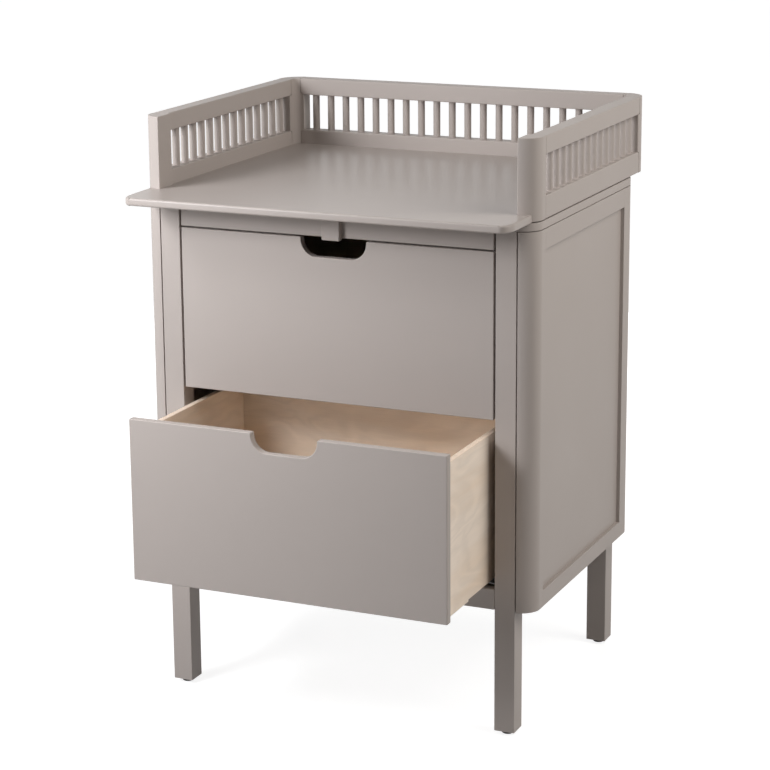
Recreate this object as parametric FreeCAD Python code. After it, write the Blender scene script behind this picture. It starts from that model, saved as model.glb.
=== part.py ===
import FreeCAD, Part
import math
import os
from FreeCAD import Vector

# A changing dresser: a two-drawer cabinet on square legs, with a removable changing plate
# and a three-sided spindle gallery on top. Millimetres, +Z up, +X to the right.
# While it is built, y = 0 is the front plane of the legs and of the closed drawer fronts.

# Cabinet
cabinet_width = 792.0
cabinet_depth = 560.0
cabinet_top = 960.0             # top of legs and side frames
side_bottom = 246.0             # underside of the side frames and the bottom rails
top_board_thickness = 15.0
edge_radius = 2.0               # eased edges of the painted pieces

# Legs and glides
leg_size = 40.0
glide_height = 8.0
glide_radius = 12.0
glide_round = 4.0
glide_nail_radius = 1.5
glide_nail_length = 16.0

# Side frames
stile_thickness = 36.0
front_stile_depth = 52.0
rear_stile_depth = 66.0
side_rail_thickness = 24.0
side_top_rail_height = 38.0
side_bottom_rail_height = 32.0
side_panel_thickness = 9.0
side_panel_recess = 7.0
panel_tongue = 8.0
seam_width = 2.0                # shadow seam between leg and stile
seam_depth = 8.0

# Front and rear rails, back panel
front_top_rail_height = 37.0
front_rail_thickness = 18.0
bottom_rail_height = 40.0
bottom_rail_thickness = 20.0
apron_side_gap = 3.5
back_panel_thickness = 6.0
back_panel_inset = 6.0          # from the rear face of the legs
back_panel_tongue = 6.0
bottom_panel_thickness = 6.0
bottom_panel_lift = 10.0        # above the underside of the bottom rails
bottom_panel_tongue = 6.0

# Drawers
drawer_side_gap = 4.0           # between a drawer front and the leg beside it
drawer_front_height = 311.0
drawer_front_thickness = 16.0
top_front_gap = 3.0
between_fronts_gap = 8.0
handle_half_width = 66.0
handle_depth = 36.0
handle_radius = 32.0
handle_lip_radius = 3.0
box_side_gap = 14.0             # between a drawer box and the leg beside it
box_depth = 408.0
box_wall = 12.0
box_height = 283.0
box_lift = 5.0                  # box underside above the underside of the front
box_foot_height = 3.5           # deeper front stretch of the box sides
box_foot_length = 110.0
box_bottom_thickness = 9.0
box_bottom_lift = 13.0          # recess under the box bottom, which hides the runners
box_groove = 6.0
moving_rail_shortfall = 8.0     # moving rails end this far before the box does
drawer_travel = box_depth - moving_rail_shortfall  # full extension: as long as the moving rails
lower_drawer_opening = 218.0    # how far the lower drawer stands open at rest

# Concealed telescopic runners
runner_sheet = 1.5
runner_gap = 0.3
fixed_runner_front = 22.0
fixed_runner_rear = 18.0        # from the rear face of the legs
fixed_runner_flange = 40.0
fixed_runner_drop = 6.0         # underside of the fixed rail below the box underside
runner_width = 24.0             # outside width of the middle rail
runner_side_gap = 0.8
runner_to_box = 1.8             # drawer rail to the inner face of the box side
moving_runner_front = 18.0
lip_height = 6.5
screw_radius = 2.0
screw_length = 14.0
screw_head_radius = 4.0
screw_head_height = 2.2
screw_rise = 16.0               # screw line above the box underside
screw_inset = 10.0              # screws from the ends of the fixed rail

# Changing plate
plate_thickness = 15.0
plate_overhang = 106.0          # in front of the cabinet
plate_ear_inset = 11.0          # front ears inside the cabinet's sides
plate_corner_radius = 36.0
plate_rear_radius = 18.0
plate_edge_radius = 4.0
plate_ear_back = 8.0            # how far the front ears reach behind y = 0
plate_notch_gap = 0.5
block_width = 36.0
block_thickness = 12.0
block_drop = 4.0                # below the underside of the top rail
cleat_width = 500.0
cleat_thickness = 18.0
cleat_height = 25.0
cleat_gap = 1.0

# Gallery
gallery_lift = 2.0              # shadow gap between the top board and the gallery
gallery_height = 150.0
gallery_overhang = 70.0         # behind the cabinet
gallery_stile_depth = 50.0
gallery_corner_radius = 44.0    # rear corners
gallery_rail_thickness = 30.0
gallery_top_rail_height = 34.0
gallery_bottom_rail_height = 42.0
back_slot_inset = 48.0          # ends of the rear slot, from the outer sides
side_slot_inset = 58.0          # rear end of a side slot, from the rear of the gallery
back_rail_inset = 40.0          # ends of the rear rails, from the outer sides
slot_end_bar = 7.0              # closes a side slot in front of its corner post
rail_end_radius = 6.0           # slot-side corners of the rails by the corner posts
spindle_radius = 7.25
spindle_tenon = 8.0
spindle_pitch = 34.3

# Worked out from the values above
corner_radius = stile_thickness  # the stiles are quarter-round, and the top board follows them
half_width = cabinet_width / 2
gallery_rear = cabinet_depth + gallery_overhang
leg_outer = half_width - stile_thickness
leg_inner = leg_outer - leg_size
top_board_top = cabinet_top + top_board_thickness
plate_bottom = top_board_top
plate_top = plate_bottom + plate_thickness
gallery_bottom = top_board_top + gallery_lift
gallery_top = gallery_bottom + gallery_height
slot_bottom = gallery_bottom + gallery_bottom_rail_height
slot_top = gallery_top - gallery_top_rail_height
gallery_bottom_z = (gallery_bottom, slot_bottom)
gallery_top_z = (slot_top, gallery_top)
rail_inner = half_width - gallery_rail_thickness
back_rail_front = gallery_rear - gallery_rail_thickness
side_slot_rear = gallery_rear - side_slot_inset
corner_post_front = side_slot_rear + slot_end_bar
back_slot_half = half_width - back_slot_inset
back_rail_half = half_width - back_rail_inset
apron_bottom = cabinet_top - front_top_rail_height
upper_front_top = apron_bottom - top_front_gap
upper_front_bottom = upper_front_top - drawer_front_height
lower_front_bottom = upper_front_bottom - between_fronts_gap - drawer_front_height
bottom_rail_top = side_bottom + bottom_rail_height
drawer_front_half = leg_inner - drawer_side_gap
box_half = leg_inner - box_side_gap
fixed_runner_end = cabinet_depth - fixed_runner_rear
box_rear = drawer_front_thickness + box_depth
side_slot_bottom = side_bottom + side_bottom_rail_height
side_slot_top = cabinet_top - side_top_rail_height
origin_y = (gallery_rear - lower_drawer_opening) / 2


def block(x, y, z):
    return Part.makeBox(x[1] - x[0], y[1] - y[0], z[1] - z[0], Vector(x[0], y[0], z[0]))


def rounded(shape, radius, picked):
    return shape.makeFillet(radius, [edge for edge in shape.Edges if picked(edge)])


def along(axis):
    def picked(edge):
        start, end = edge.Vertexes[0].Point, edge.Vertexes[-1].Point
        return abs(abs((end - start).normalize().dot(axis)) - 1) < 1e-6
    return picked


def at_height(*heights):
    def picked(edge):
        return any(abs(edge.BoundBox.ZMin - z) < 1e-6 and abs(edge.BoundBox.ZMax - z) < 1e-6
                   for z in heights)
    return picked


def rail(x, y, z, axis):
    return rounded(block(x, y, z), edge_radius, along(axis))


def mirrored(shape):
    return shape.mirror(Vector(0, 0, 0), Vector(1, 0, 0))


def turned_to_rear(shape, depth):
    return shape.mirror(Vector(0, depth / 2, 0), Vector(0, 1, 0))


def prism(wire, z):
    face = Part.Face(wire)
    return face.extrude(Vector(0, 0, z[1] - z[0])).translated(Vector(0, 0, z[0]))


def polyline(points):
    return [Part.LineSegment(a, b).toShape() for a, b in zip(points, points[1:])]


def arc_about(centre, radius, start_degrees, end_degrees):
    angles = [math.radians(start_degrees + (end_degrees - start_degrees) * step / 2)
              for step in range(3)]
    points = [centre + Vector(math.cos(a), math.sin(a), 0) * radius for a in angles]
    return Part.Arc(*points).toShape(), points


def stile(depth, z, seam):
    """Right-hand upright: quarter-round outside, flat inside, with a shadow seam by the leg."""
    centre = Vector(half_width - corner_radius, corner_radius, 0)
    front_x = leg_outer + (seam_width if seam else 0)
    sweep_start = -math.degrees(math.acos((front_x - centre.x) / corner_radius))
    arc, points = arc_about(centre, corner_radius, sweep_start, 0)
    outline = [points[2], Vector(half_width, depth, 0), Vector(leg_outer, depth, 0)]
    if seam:
        outline += [Vector(leg_outer, seam_depth, 0), Vector(front_x, seam_depth, 0)]
    outline.append(points[0])
    return prism(Part.Wire([arc] + polyline(outline)), z)


def leg(x_sign, rear):
    x = (leg_inner, leg_outer) if x_sign > 0 else (-leg_outer, -leg_inner)
    y = (cabinet_depth - leg_size, cabinet_depth) if rear else (0, leg_size)
    shape = rail(x, y, (glide_height, cabinet_top), Vector(0, 0, 1))
    middle = Vector(sum(x) / 2, sum(y) / 2, glide_height)
    shape = shape.cut(Part.makeCylinder(glide_nail_radius, glide_nail_length, middle))
    if rear:
        shape = shape.cut(back_panel())
    for screw in runner_screws():
        shape = shape.cut(screw)
    return shape


def glide(x, y):
    pad = Part.makeCylinder(glide_radius, glide_height, Vector(x, y, 0))
    pad = rounded(pad, glide_round, at_height(0))
    return pad.fuse(Part.makeCylinder(glide_nail_radius, glide_height + glide_nail_length,
                                      Vector(x, y, 0))).removeSplitter()


def leg_glides():
    xs = (-leg_outer + leg_size / 2, leg_outer - leg_size / 2)
    ys = (leg_size / 2, cabinet_depth - leg_size / 2)
    return [glide(x, y) for x in xs for y in ys]


def side_panel():
    x = half_width - side_panel_recess
    return block((x - side_panel_thickness, x),
                 (front_stile_depth - panel_tongue, cabinet_depth - rear_stile_depth + panel_tongue),
                 (side_slot_bottom - panel_tongue, side_slot_top + panel_tongue))


def side_frame():
    z = (side_bottom, cabinet_top)
    y = (front_stile_depth, cabinet_depth - rear_stile_depth)
    x = (half_width - side_rail_thickness, half_width)
    panel = side_panel()
    return {
        "front_stile": stile(front_stile_depth, z, True).cut(panel),
        "rear_stile": turned_to_rear(stile(rear_stile_depth, z, True), cabinet_depth).cut(panel),
        "side_top_rail": block(x, y, (side_slot_top, cabinet_top)).cut(panel),
        "side_bottom_rail": block(x, y, (side_bottom, side_slot_bottom)).cut(panel),
        "side_panel": panel,
    }


def dresser_top():
    board = block((-half_width, half_width), (0, cabinet_depth), (cabinet_top, top_board_top))
    board = rounded(board, corner_radius, along(Vector(0, 0, 1)))
    return rounded(board, edge_radius / 2, at_height(cabinet_top, top_board_top))


def front_top_rail():
    x = leg_inner - apron_side_gap
    return rail((-x, x), (0, front_rail_thickness), (apron_bottom, cabinet_top), Vector(1, 0, 0))


def bottom_rail(y):
    whole = rail((-leg_inner, leg_inner), y, (side_bottom, bottom_rail_top), Vector(1, 0, 0))
    return whole.cut(bottom_panel())


def bottom_panel():
    """Thin board in grooves of the two bottom rails, wider between the side frames."""
    low = side_bottom + bottom_panel_lift
    z = (low, low + bottom_panel_thickness)
    x = half_width - side_rail_thickness
    y = bottom_rail_thickness - bottom_panel_tongue
    narrow = block((-leg_inner, leg_inner), (y, cabinet_depth - y), z)
    wide = block((-x, x), (front_stile_depth, cabinet_depth - rear_stile_depth), z)
    return narrow.fuse(wide).removeSplitter()


def back_panel():
    y = cabinet_depth - back_panel_inset
    x = leg_inner + back_panel_tongue
    return block((-x, x), (y - back_panel_thickness, y), (bottom_rail_top, cabinet_top))


def drawer_front(bottom):
    """Front panel with a rounded finger cut-out in its top edge."""
    top = bottom + drawer_front_height
    half = drawer_front_half
    floor = top - handle_depth
    slot = block((-handle_half_width, handle_half_width), (0, drawer_front_thickness), (floor, top))
    slot = rounded(slot, handle_radius, lambda e: at_height(floor)(e) and along(Vector(0, 1, 0))(e))
    front = block((-half, half), (0, drawer_front_thickness), (bottom, top)).cut(slot)

    def lip(edge):
        box = edge.BoundBox
        at_slot = abs(abs(box.Center.x) - handle_half_width) < 1e-6
        return at_slot and abs(box.ZMin - top) < 1e-6 and along(Vector(0, 1, 0))(edge)

    front = rounded(front, handle_lip_radius, lip)
    return rounded(front, edge_radius, lambda e: e.BoundBox.YMax < 1e-6)


def drawer_box(bottom):
    """Plywood box behind the front: sides, back and a bottom let into grooves."""
    low = bottom + box_lift
    top = low + box_height
    floor = low + box_bottom_lift
    inner = box_half - box_wall
    front_y = drawer_front_thickness
    board = block((-inner - box_groove, inner + box_groove),
                  (front_y - box_groove, box_rear - box_wall + box_groove),
                  (floor, floor + box_bottom_thickness))
    profile = [Vector(0, front_y, low - box_foot_height),
               Vector(0, front_y + box_foot_length, low - box_foot_height),
               Vector(0, front_y + box_foot_length, low), Vector(0, box_rear, low),
               Vector(0, box_rear, top), Vector(0, front_y, top),
               Vector(0, front_y, low - box_foot_height)]
    side = Part.Face(Part.Wire(polyline(profile))).extrude(Vector(box_wall, 0, 0))
    side = side.translated(Vector(inner, 0, 0)).cut(board)
    back = block((-inner, inner), (box_rear - box_wall, box_rear), (floor, top)).cut(board)
    return {
        "front": drawer_front(bottom).cut(board),
        "left_side": mirrored(side),
        "right_side": side,
        "back": back,
        "bottom": board,
    }


def runner_set(bottom):
    """Right-hand concealed runner: fixed rail on the legs, middle rail and drawer rail."""
    low = bottom + box_lift
    fixed_y = (fixed_runner_front, fixed_runner_end)
    moving_y = (moving_runner_front, moving_runner_front + drawer_travel)
    base = low - fixed_runner_drop
    cap_outer = box_half - box_wall - runner_to_box
    middle_outer = cap_outer - runner_sheet - runner_side_gap
    middle_inner = middle_outer - runner_width
    cap_inner = middle_inner - runner_side_gap - runner_sheet
    lip_outer = cap_inner - runner_gap
    deck = low + box_bottom_lift

    flange = block((leg_inner - runner_sheet, leg_inner), fixed_y, (base, base + fixed_runner_flange))
    shelf = block((lip_outer - runner_sheet, leg_inner), fixed_y, (base, base + runner_sheet))
    lip = block((lip_outer - runner_sheet, lip_outer), fixed_y, (base, base + lip_height))
    fixed = flange.fuse([shelf, lip]).removeSplitter()

    middle_z = (base + runner_sheet + runner_gap, deck - runner_sheet - runner_gap)
    middle = block((middle_inner, middle_outer), moving_y, middle_z)
    middle = rounded(middle, runner_sheet, along(Vector(0, 1, 0)))
    bore = block((middle_inner + runner_sheet, middle_outer - runner_sheet), moving_y,
                 (middle_z[0] + runner_sheet, middle_z[1] - runner_sheet))
    middle = middle.cut(bore)

    cap = block((cap_inner, cap_outer), moving_y, (low, deck))
    room = block((cap_inner + runner_sheet, cap_outer - runner_sheet), moving_y,
                 (low, deck - runner_sheet))
    return {"fixed_rail": fixed, "middle_rail": middle, "drawer_rail": cap.cut(room)}


def runner_screw(x_sign, y, z):
    face = leg_inner - runner_sheet
    shank = Part.makeCylinder(screw_radius, screw_length + runner_sheet, Vector(face, y, z), Vector(1, 0, 0))
    head = Part.makeCylinder(screw_head_radius, screw_head_height,
                             Vector(face - screw_head_height, y, z), Vector(1, 0, 0))
    screw = head.fuse(shank).removeSplitter()
    return screw if x_sign > 0 else mirrored(screw)


def runner_screws():
    ends = (fixed_runner_front + screw_inset, fixed_runner_end - screw_inset)
    return [runner_screw(sign, y, bottom + box_lift + screw_rise)
            for bottom in (lower_front_bottom, upper_front_bottom)
            for sign in (-1, 1) for y in ends]


def changing_plate():
    """Plate with two front ears, notched round the gallery's front stiles."""
    ear = half_width - plate_ear_inset
    body = block((-rail_inner, rail_inner), (-plate_overhang, back_rail_front),
                 (plate_bottom, plate_top))
    upright = along(Vector(0, 0, 1))
    body = rounded(body, plate_rear_radius, lambda e: upright(e) and e.BoundBox.YMin > 0)
    nose = block((-ear, ear), (-plate_overhang, plate_ear_back), (plate_bottom, plate_top))
    nose = rounded(nose, plate_corner_radius, lambda e: upright(e) and e.BoundBox.YMax < 0)
    nose = rounded(nose, plate_edge_radius,
                   lambda e: at_height(plate_bottom, plate_top)(e) and e.BoundBox.YMin < 0)
    plate = nose.fuse(body.cut(block((-ear, ear), (-plate_overhang, 0), (plate_bottom, plate_top))))
    notch = stile(gallery_stile_depth, (plate_bottom, plate_top), False)
    notch = notch.makeOffsetShape(plate_notch_gap, 1e-3, join=2)
    inner_face = block((leg_outer, half_width), (-plate_overhang, gallery_stile_depth),
                       (0, gallery_top))
    notch = notch.common(inner_face)
    return plate.cut(notch).cut(mirrored(notch)).removeSplitter()


def plate_front_block():
    return rail((-block_width / 2, block_width / 2), (-block_thickness, 0),
                (apron_bottom - block_drop, plate_bottom), Vector(0, 0, 1))


def plate_rear_cleat():
    y = cabinet_depth + cleat_gap
    return rail((-cleat_width / 2, cleat_width / 2), (y, y + cleat_thickness),
                (plate_bottom - cleat_height, plate_bottom), Vector(1, 0, 0))


def spindle(x, y):
    low = slot_bottom - spindle_tenon
    return Part.makeCylinder(spindle_radius, slot_top - slot_bottom + 2 * spindle_tenon,
                             Vector(x, y, low))


def spindle_places(start, end):
    """Even places at the spindle pitch, centred in the span."""
    count = int((end - start) / spindle_pitch)
    first = (start + end) / 2 - (count - 1) * spindle_pitch / 2
    return [first + step * spindle_pitch for step in range(count)]


def rail_blank(x, y, z, axis, at_end):
    """Gallery rail before its long edges are eased; its slot-side corners by the posts are round."""
    slot_edge = z[1] if z[0] == gallery_bottom else z[0]
    across = along(Vector(axis.y, axis.x, 0))
    return rounded(block(x, y, z), rail_end_radius,
                   lambda e: across(e) and at_height(slot_edge)(e) and at_end(e.BoundBox.Center))


def side_gallery_rail(z):
    axis = Vector(0, 1, 0)
    y = (gallery_stile_depth, corner_post_front)
    blank = rail_blank((rail_inner, half_width), y, z, axis, lambda centre: centre.y > y[1] - 1)
    return rounded(blank, edge_radius, along(axis))


def back_rail_blank(z):
    x = (-back_rail_half, back_rail_half)
    return rail_blank(x, (back_rail_front, gallery_rear), z, Vector(1, 0, 0),
                      lambda centre: abs(centre.x) > x[1] - 1)


def back_gallery_rail(z):
    return rounded(back_rail_blank(z), edge_radius, along(Vector(1, 0, 0)))


def corner_post():
    """Quarter-round post with a coved inner face, and the bar that closes the side slot."""
    radius = gallery_corner_radius
    centre = Vector(half_width - radius, gallery_rear - radius, 0)
    outer, outer_points = arc_about(centre, radius, 0, 90)
    inner, inner_points = arc_about(centre, radius - gallery_rail_thickness, 90, 0)
    rear_end = [outer_points[2], Vector(back_slot_half, gallery_rear, 0),
                Vector(back_slot_half, back_rail_front, 0), inner_points[0]]
    front_end = [inner_points[2], Vector(rail_inner, corner_post_front, 0),
                 Vector(half_width, corner_post_front, 0), outer_points[0]]
    post = prism(Part.Wire([outer] + polyline(rear_end) + [inner] + polyline(front_end)),
                 (gallery_bottom, gallery_top))
    post = post.cut([back_rail_blank(z) for z in (gallery_bottom_z, gallery_top_z)])
    bar = block((rail_inner, half_width), (side_slot_rear, corner_post_front), (slot_bottom, slot_top))
    upright = along(Vector(0, 0, 1))
    bar = rounded(bar, edge_radius, lambda e: upright(e) and e.BoundBox.YMax < side_slot_rear + 1)
    return [post, bar]


def gallery_side():
    x_middle = (rail_inner + half_width) / 2
    spindles = [spindle(x_middle, place) for place in spindle_places(gallery_stile_depth, side_slot_rear)]
    upright = stile(gallery_stile_depth, (gallery_bottom, gallery_top), False)
    return {
        "gallery_front_stile": [rounded(upright, edge_radius / 2, at_height(gallery_top))],
        "gallery_bottom_rail": [side_gallery_rail(gallery_bottom_z).cut(spindles)],
        "gallery_top_rail": [side_gallery_rail(gallery_top_z).cut(spindles)],
        "gallery_spindles": spindles,
        "gallery_corner_post": corner_post(),
    }


def gallery_back():
    y_middle = (back_rail_front + gallery_rear) / 2
    spindles = [spindle(place, y_middle) for place in spindle_places(-back_slot_half, back_slot_half)]
    return {
        "back_gallery_bottom_rail": [back_gallery_rail(gallery_bottom_z).cut(spindles)],
        "back_gallery_top_rail": [back_gallery_rail(gallery_top_z).cut(spindles)],
        "back_gallery_spindles": spindles,
    }


def opened(shape, distance):
    return shape.translated(Vector(0, -distance, 0))


def dresser():
    nodes = {
        "front_left_leg": [leg(-1, False)],
        "front_right_leg": [leg(1, False)],
        "rear_left_leg": [leg(-1, True)],
        "rear_right_leg": [leg(1, True)],
        "leg_glides": leg_glides(),
        "dresser_top": [dresser_top()],
        "front_top_rail": [front_top_rail()],
        "front_bottom_rail": [bottom_rail((0, bottom_rail_thickness))],
        "rear_bottom_rail": [bottom_rail((cabinet_depth - bottom_rail_thickness, cabinet_depth))],
        "bottom_panel": [bottom_panel()],
        "back_panel": [back_panel()],
        "changing_plate": [changing_plate()],
        "plate_front_block": [plate_front_block()],
        "plate_rear_cleat": [plate_rear_cleat()],
        "runner_screws": runner_screws(),
    }
    for name, shape in side_frame().items():
        nodes["right_" + name] = [shape]
        nodes["left_" + name] = [mirrored(shape)]
    for name, shapes in gallery_side().items():
        nodes["right_" + name] = shapes
        nodes["left_" + name] = [mirrored(shape) for shape in shapes]
    nodes.update(gallery_back())
    for level, bottom, opening in (("upper", upper_front_bottom, 0.0),
                                   ("lower", lower_front_bottom, lower_drawer_opening)):
        for name, shape in drawer_box(bottom).items():
            nodes[level + "_drawer_" + name] = [opened(shape, opening)]
        moved = {"fixed_rail": 0.0, "middle_rail": opening / 2, "drawer_rail": opening}
        for name, shape in runner_set(bottom).items():
            if name == "fixed_rail":
                shape = shape.cut(runner_screws())
            shape = opened(shape, moved[name])
            nodes[level + "_right_" + name] = [shape]
            nodes[level + "_left_" + name] = [mirrored(shape)]
    return nodes


def export(nodes):
    os.makedirs("parts", exist_ok=True)
    shift = Vector(0, -origin_y, 0)
    for name, shapes in nodes.items():
        solids = [solid.translated(shift) for shape in shapes for solid in shape.Solids]
        for solid in solids:
            assert solid.isValid() and solid.Volume > 0, name
        whole = solids[0] if len(solids) == 1 else Part.makeCompound(solids)
        whole.exportStep("parts/" + name + ".step")
    print(len(nodes), "nodes written")


export(dresser())
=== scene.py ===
import math

import bpy
from mathutils import Matrix, Vector


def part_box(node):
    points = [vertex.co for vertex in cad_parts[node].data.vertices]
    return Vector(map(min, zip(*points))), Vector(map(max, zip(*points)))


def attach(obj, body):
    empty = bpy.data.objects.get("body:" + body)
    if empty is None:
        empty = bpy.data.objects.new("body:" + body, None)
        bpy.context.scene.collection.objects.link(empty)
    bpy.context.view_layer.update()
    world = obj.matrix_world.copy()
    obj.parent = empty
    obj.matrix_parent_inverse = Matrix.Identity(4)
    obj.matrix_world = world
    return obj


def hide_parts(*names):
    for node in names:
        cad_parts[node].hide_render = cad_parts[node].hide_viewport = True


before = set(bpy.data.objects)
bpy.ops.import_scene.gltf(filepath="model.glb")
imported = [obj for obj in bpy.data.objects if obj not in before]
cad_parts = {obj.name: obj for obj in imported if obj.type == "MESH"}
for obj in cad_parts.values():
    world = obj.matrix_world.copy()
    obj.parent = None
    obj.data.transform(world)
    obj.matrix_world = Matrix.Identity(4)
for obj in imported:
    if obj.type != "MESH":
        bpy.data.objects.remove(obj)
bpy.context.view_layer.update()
scene = bpy.context.scene
print("changing dresser: frame loaded,", len(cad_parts), "nodes")

# camera: the photograph's own viewpoint, found from the dresser's edges
photoView = {
    "pictureWidth": 770,  # pixels
    "focalLength": 2381.8,  # pixels
    "position": (1.8364, -4.0813, 1.7674),
    "yaw": 0.42064,
    "pitch": 0.24027,
    "roll": -0.00772,
    "shiftY": -0.05,
    "sensorWidth": 36.0,
}


def makeCamera():
    data = bpy.data.cameras.new("photoCamera")
    camera = bpy.data.objects.new("photoCamera", data)
    scene.collection.objects.link(camera)
    data.sensor_width = photoView["sensorWidth"]
    data.lens = photoView["focalLength"] / photoView["pictureWidth"] * photoView["sensorWidth"]
    data.shift_y = photoView["shiftY"]
    turn = Matrix.Rotation(photoView["yaw"], 4, "Z")
    turn = turn @ Matrix.Rotation(math.pi / 2 - photoView["pitch"], 4, "X")
    turn = turn @ Matrix.Rotation(photoView["roll"], 4, "Z")
    camera.matrix_world = Matrix.Translation(photoView["position"]) @ turn
    scene.camera = camera


makeCamera()

# studio: pale floor, white surround, soft lamps
studio = {
    "floorSize": 60.0,
    "floorDiffuse": 0.45,
    # the glow is lower by the dresser than far away: painted shade round the dresser; where enough real
    # light falls the floor still shows white
    "floorGlow": (0.85, 1.0),  # what the camera sees besides the lit colour: by the dresser, far away
    "floorFade": (0.75, 1.35),  # metres over which the one becomes the other
    "floorShown": 0.36,
    "ambient": 0.035,
}
coolWhite, warmWhite = (0.97, 0.98, 1.0), (1.0, 0.965, 0.915)
lamps = {
    "keyLeft": {"place": (-0.85, -1.38, 1.5), "size": 0.5, "watts": 19.5, "colour": coolWhite},
    "highLeft": {"place": (-1.2, -1.2, 2.2), "size": 0.6, "watts": 15.5, "colour": coolWhite},
    "lowLeft": {"place": (-1.0, -1.6, 1.1), "size": 0.8, "watts": 7.6, "colour": coolWhite},
    "topRight": {"place": (2.0, -0.2, 2.6), "size": 1.6, "watts": 30.5, "colour": warmWhite},
    "sideRight": {"place": (2.6, 0.5, 1.6), "size": 1.6, "watts": 20.0, "colour": warmWhite},
    "backFill": {"place": (-1.0, 3.0, 0.9), "size": 2.0, "watts": 50.0, "colour": coolWhite},
}
lampAim = (0.0, 0.0, 0.6)


def addNode(tree, kind, place, plugs=None, **settings):
    # plugs are the values of its inputs that nothing is wired to
    node = tree.nodes.new(kind)
    node.location = place
    for key, value in settings.items():
        setattr(node, key, value)
    for label, value in (plugs or {}).items():
        node.inputs[label].default_value = value
    return node


def wire(source, node, label):
    node.id_data.links.new(source, node.inputs[label])


def showsBackground(tree):
    # 1 for rays that see the picture's background: camera, mirror-like and see-through ones
    path = addNode(tree, "ShaderNodeLightPath", (-900, 300))
    first = addNode(tree, "ShaderNodeMath", (-700, 300), operation="MAXIMUM")
    second = addNode(tree, "ShaderNodeMath", (-500, 300), operation="MAXIMUM")
    wire(path.outputs["Is Camera Ray"], first, 0)
    wire(path.outputs["Is Glossy Ray"], first, 1)
    wire(first.outputs[0], second, 0)
    wire(path.outputs["Is Transmission Ray"], second, 1)
    return second.outputs[0]


def makeWorld():
    world = bpy.data.worlds.new("whiteStudio")
    scene.world = world
    world.use_nodes = True
    tree = world.node_tree
    tree.nodes.clear()
    seen = addNode(
        tree, "ShaderNodeBackground", (-300, 100), {"Color": (1.0, 1.0, 1.0, 1.0), "Strength": 1.0}
    )
    lit = addNode(
        tree, "ShaderNodeBackground", (-300, -100),
        {"Color": (1.0, 0.99, 0.98, 1.0), "Strength": studio["ambient"]},
    )
    mix = addNode(tree, "ShaderNodeMixShader", (0, 0))
    out = addNode(tree, "ShaderNodeOutputWorld", (200, 0))
    wire(showsBackground(tree), mix, 0)
    wire(lit.outputs[0], mix, 1)
    wire(seen.outputs[0], mix, 2)
    wire(mix.outputs[0], out, "Surface")


def makeFloor():
    bpy.ops.object.select_all(action="DESELECT")
    bpy.ops.mesh.primitive_plane_add(size=studio["floorSize"], location=(0, 0, 0))
    floor = bpy.context.object
    floor.name = "studioFloor"
    material = bpy.data.materials.new("studioFloor")
    material.use_nodes = True
    tree = material.node_tree
    tree.nodes.clear()
    plain = addNode(
        tree, "ShaderNodeBsdfDiffuse", (-300, -100), {"Color": (studio["floorDiffuse"],) * 3 + (1.0,)}
    )
    shown = addNode(
        tree, "ShaderNodeBsdfDiffuse", (-300, 100), {"Color": (studio["floorShown"],) * 3 + (1.0,)}
    )
    glow = addNode(tree, "ShaderNodeEmission", (-300, 250))
    coords = addNode(tree, "ShaderNodeTexCoord", (-900, 450)).outputs["Object"]
    reach = addNode(tree, "ShaderNodeVectorMath", (-700, 450), operation="LENGTH")
    near, far = studio["floorFade"]
    shadedNear, bright = studio["floorGlow"]
    # the floor's glow rises with the distance from the dresser: painted shade near it
    fade = addNode(
        tree, "ShaderNodeMapRange", (-500, 450),
        {"From Min": near, "From Max": far, "To Min": shadedNear, "To Max": bright},
        interpolation_type="SMOOTHSTEP",
    )
    wire(coords, reach, 0)
    wire(reach.outputs["Value"], fade, "Value")
    wire(fade.outputs["Result"], glow, "Strength")
    both = addNode(tree, "ShaderNodeAddShader", (-100, 150))
    mix = addNode(tree, "ShaderNodeMixShader", (100, 0))
    out = addNode(tree, "ShaderNodeOutputMaterial", (300, 0))
    wire(shown.outputs[0], both, 0)
    wire(glow.outputs[0], both, 1)
    wire(showsBackground(tree), mix, 0)
    wire(plain.outputs[0], mix, 1)
    wire(both.outputs[0], mix, 2)
    wire(mix.outputs[0], out, "Surface")
    floor.data.materials.append(material)


def makeLamps():
    for name, lamp in lamps.items():
        data = bpy.data.lights.new(name, "AREA")
        data.size = lamp["size"]
        data.energy = lamp["watts"]
        data.color = lamp["colour"]
        light = bpy.data.objects.new(name, data)
        scene.collection.objects.link(light)
        light.location = lamp["place"]
        light.visible_glossy = name != "backFill"  # would glare in the plate
        toAim = Vector(lampAim) - Vector(lamp["place"])
        light.rotation_euler = toAim.to_track_quat("-Z", "Y").to_euler()


makeWorld()
makeFloor()
makeLamps()
scene.view_settings.view_transform = "Standard"
print("studio: world, floor and", len(lamps), "lamps")


# effects that several finishes share
def newGroup(name, amounts, masks):
    # takes coordinates and some amounts, and puts out masks that change over the surface
    group = bpy.data.node_groups.new(name, "ShaderNodeTree")
    group.interface.new_socket(name="Vector", in_out="INPUT", socket_type="NodeSocketVector")
    for label, value in amounts.items():
        socket = group.interface.new_socket(name=label, in_out="INPUT", socket_type="NodeSocketFloat")
        socket.default_value = value
    for label in masks:
        group.interface.new_socket(name=label, in_out="OUTPUT", socket_type="NodeSocketFloat")
    entry = addNode(group, "NodeGroupInput", (-900, 0))
    leave = addNode(group, "NodeGroupOutput", (700, 0))
    return group, entry, leave


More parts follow.
